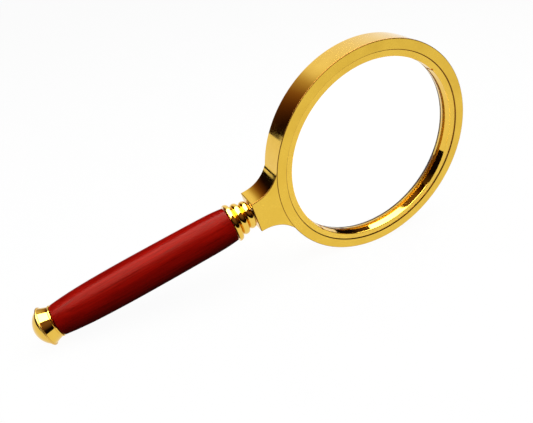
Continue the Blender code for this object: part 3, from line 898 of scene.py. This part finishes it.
def reflector(name, corners, stops, strength=1.0):
    """Panel seen only in reflections. stops colour it along its first edge."""
    mesh = bpy.data.meshes.new(name)
    mesh.from_pydata([Vector(c) for c in corners], [], [tuple(range(len(corners)))])
    layer = mesh.uv_layers.new(name="panel")
    start, along = Vector(corners[0]), Vector(corners[1]) - Vector(corners[0])
    for item, corner in zip(layer.data, corners):
        item.uv = ((Vector(corner) - start).dot(along) / along.length_squared, 0.0)
    obj = add_object(name, mesh)
    material = bpy.data.materials.new(name)
    material.use_nodes = True
    nodes, links = material.node_tree.nodes, material.node_tree.links
    nodes.clear()
    place = nodes.new("ShaderNodeTexCoord")
    split = nodes.new("ShaderNodeSeparateXYZ")
    ramp = nodes.new("ShaderNodeValToRGB")
    fill_ramp(ramp, stops)
    glow = nodes.new("ShaderNodeEmission")
    glow.inputs["Strength"].default_value = strength
    out = nodes.new("ShaderNodeOutputMaterial")
    links.new(place.outputs["UV"], split.inputs[0])
    links.new(split.outputs["X"], ramp.inputs[0])
    links.new(ramp.outputs["Color"], glow.inputs["Color"])
    clear = nodes.new("ShaderNodeBsdfTransparent")
    mix = nodes.new("ShaderNodeMixShader")
    links.new(after_gloss(nodes, links), mix.inputs[0])
    links.new(clear.outputs[0], mix.inputs[1])
    links.new(glow.outputs[0], mix.inputs[2])
    links.new(mix.outputs[0], out.inputs["Surface"])
    mesh.materials.append(material)
    obj.visible_camera = False
    obj.visible_diffuse = False
    obj.visible_shadow = False
    return obj


def build_world():
    """White beyond the floor, a little soft fill, and a dark warm room for metal to show."""
    world = bpy.data.worlds.new("studio")
    bpy.context.scene.world = world
    world.use_nodes = True
    nodes, links = world.node_tree.nodes, world.node_tree.links
    room = nodes["Background"]
    fill = nodes.new("ShaderNodeBackground")
    fill.inputs["Strength"].default_value = WORLD_FILL
    white = nodes.new("ShaderNodeBackground")
    for node in (fill, white):
        node.inputs["Color"].default_value = (*WHITE, 1.0)
    direction = nodes.new("ShaderNodeTexCoord")
    split = nodes.new("ShaderNodeSeparateXYZ")
    ramp = nodes.new("ShaderNodeValToRGB")
    fill_ramp(ramp, ROOM_TONES)
    path = nodes.new("ShaderNodeLightPath")
    inner, outer = nodes.new("ShaderNodeMixShader"), nodes.new("ShaderNodeMixShader")
    links.new(direction.outputs["Generated"], split.inputs[0])
    links.new(split.outputs["Z"], ramp.inputs[0])
    links.new(ramp.outputs["Color"], room.inputs["Color"])
    links.new(after_gloss(nodes, links), inner.inputs[0])
    links.new(fill.outputs[0], inner.inputs[1])
    links.new(room.outputs[0], inner.inputs[2])
    links.new(path.outputs["Is Camera Ray"], outer.inputs[0])
    links.new(inner.outputs[0], outer.inputs[1])
    links.new(white.outputs[0], outer.inputs[2])
    links.new(outer.outputs[0], nodes["World Output"].inputs["Surface"])


def build_camera():
    data = bpy.data.cameras.new("camera")
    data.lens = CAMERA_LENS
    data.sensor_width = SENSOR_WIDTH
    data.clip_start = CLIP_START
    camera = add_object("camera", data)
    camera.location = CAMERA_PLACE
    camera.rotation_euler = [math.radians(a) for a in CAMERA_TURN]
    bpy.context.scene.camera = camera


def unlight(receiver, *sources):
    """Keep the light of the sources off the receiver, by light linking."""
    group = bpy.data.collections.new("unlit_" + receiver.name)
    group.objects.link(receiver)
    group.collection_objects[0].light_linking.link_state = "EXCLUDE"
    for source in sources:
        source.light_linking.receiver_collection = group


build_camera()
bpy.context.scene.view_settings.view_transform = "Standard"
build_world()
floor = build_floor()
softbox_turn = Matrix.Rotation(SOFTBOX_TURN, 3, "Z")
area_light("overhead_light", softbox_turn @ Vector((0.0, SOFTBOX_Y, SOFTBOX_HEIGHT)),
           softbox_turn @ Vector((0.0, SOFTBOX_Y, 0.0)), SOFTBOX_SIZE, SOFTBOX_WATTS, SOFTBOX_TURN)
reflector("softbox_reflection",
          [softbox_turn @ Vector((x, y, SOFTBOX_HEIGHT)) for x, y in SOFTBOX_PANEL],
          even(WHITE), SOFTBOX_SHINE)
backdrop = reflector("backdrop_reflection", [(x, BACKDROP_Y, z) for x, z in BACKDROP_PANEL],
                     BACKDROP_TONES)
reflector("dark_flag", [(FLAG_X, y, z) for y, z in FLAG_PANEL], even(FLAG_COLOUR))

face_gold = satin_gold("satin_gold_face", *FACE_GOLD, 0.30)
land_gold = satin_gold("satin_gold_land", *LAND_GOLD, 0.26)
band_gold = polished_gold("polished_gold_band", *GOLD, 0.09, LENS_SPACE)
bore_gold = polished_gold("polished_gold_bore", *GOLD, 0.045, LENS_SPACE)
# rough gold, painted dark as shade on the front edges and creases
shaded_edge_gold = satin_gold("gold_edge_painted_shade", *EDGE_SHADE_GOLD, 0.55)
# polished gold painted near-black as shade, for the back of the bore's lip
shaded_lip_gold = polished_gold("gold_lip_painted_shade", *LIP_SHADE_GOLD, 0.3, LENS_SPACE)
ferrule_gold = polished_gold("polished_gold_ferrule", *FERRULE_GOLD, 0.05, TURNED_SPACE)
pommel_gold = polished_gold("polished_gold_pommel", *POMMEL_GOLD, 0.045, TURNED_SPACE)
rim_gold = polished_gold("soft_gold_rim", *RIM_GOLD, 0.34, TURNED_SPACE)
steel = machined_metal("stud_steel_turned", *STEEL, 0.32)
small_steel = machined_metal("pommel_stud_steel_turned", *STEEL, 0.34)
brass = machined_metal("insert_brass_turned", *BRASS, 0.36)
small_brass = machined_metal("pommel_insert_brass_turned", *BRASS, 0.36)

build_frame(face_gold, band_gold, shaded_lip_gold, shaded_edge_gold)
build_retaining_ring(land_gold, bore_gold)
build_lens(clear_glass(), ground_glass())
build_ferrule(ferrule_gold)
grip = build_grip(lacquered_wood())
build_pommel(pommel_gold, rim_gold)
build_stud("threaded_neck_stud", STUD_R, STUD_THREAD, STUD_PITCH, STUD_SPAN, steel,
           "neck_stud")
build_stud("threaded_pommel_stud", POMMEL_STUD_R, POMMEL_STUD_THREAD, POMMEL_STUD_PITCH,
           POMMEL_STUD_SPAN, small_steel, "pommel_stud")
build_insert("knurled_neck_insert", *NECK_INSERT, brass, "insert_brass", "handle_insert")
build_insert("knurled_pommel_insert", *POMMEL_INSERT, small_brass,
             "pommel_insert_brass", "pommel_insert")
unlight(grip, floor, backdrop)           # else the wood's long edges turn pale
